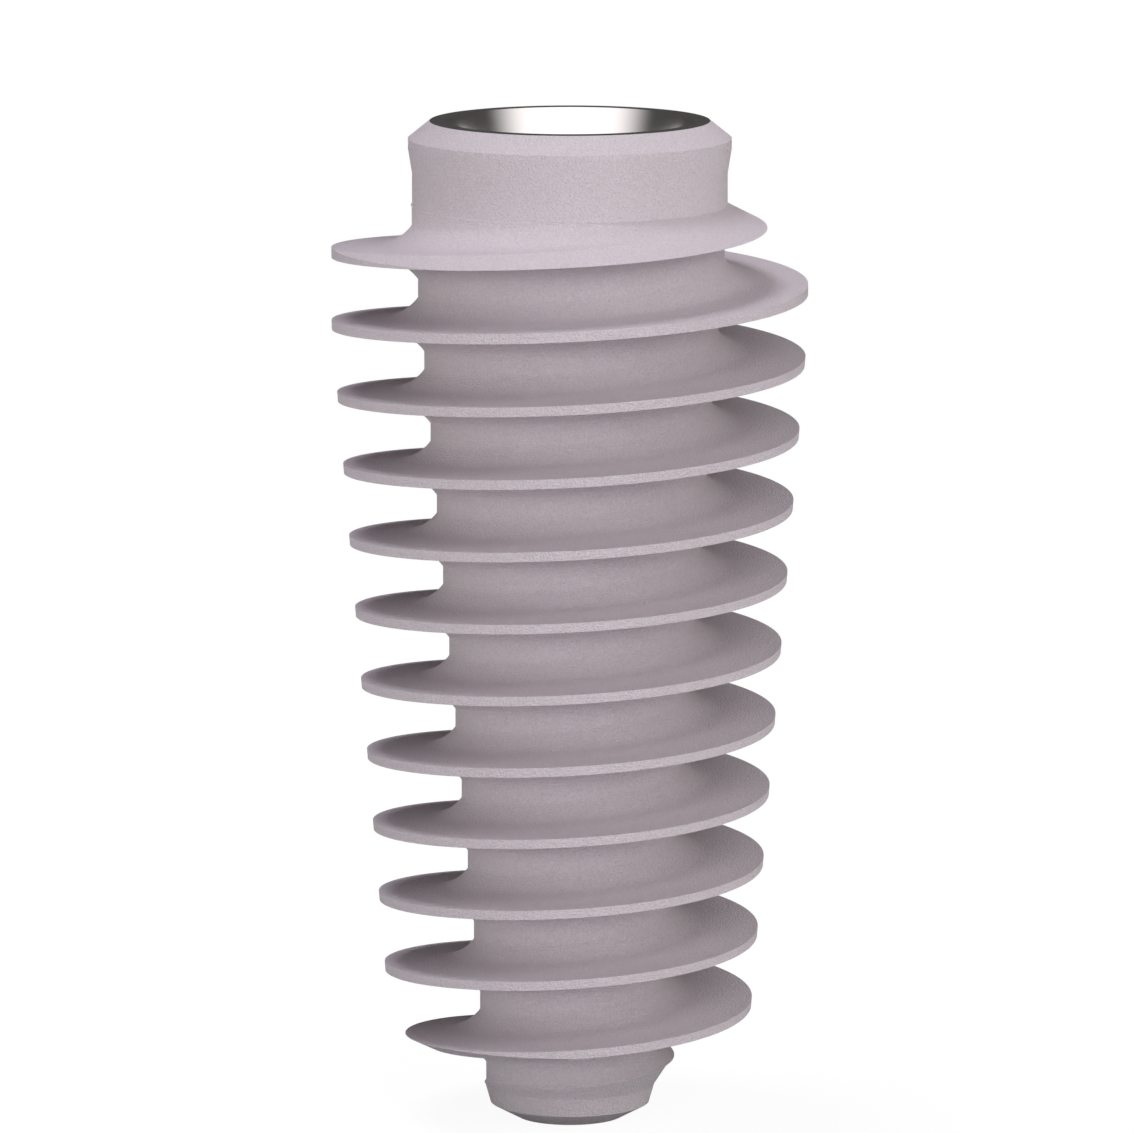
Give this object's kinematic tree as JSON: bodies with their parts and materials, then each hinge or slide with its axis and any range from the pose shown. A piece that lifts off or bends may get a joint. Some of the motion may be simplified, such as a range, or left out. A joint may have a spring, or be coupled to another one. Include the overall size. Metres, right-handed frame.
{
  "type": "dental implant",
  "caption": "Tapered dental implant with deep sharp fins, a smooth neck, a narrow flat apex and a conical socket above a hexagonal recess and a blind screw bore.",
  "frame": {"origin": "centre of the flat apex, on the implant's axis", "axes": "+Z along the axis from the apex to the socket's mouth; +X is square to one flat of the hexagonal recess"},
  "size_m": [0.0054, 0.0054, 0.0115],
  "materials": {
    "titanium": "matte grit-blasted titanium outside, mirror-polished rim and socket"
  },
  "bodies": {
    "root": {"implant_body": "titanium"}
  },
  "joints": []
}
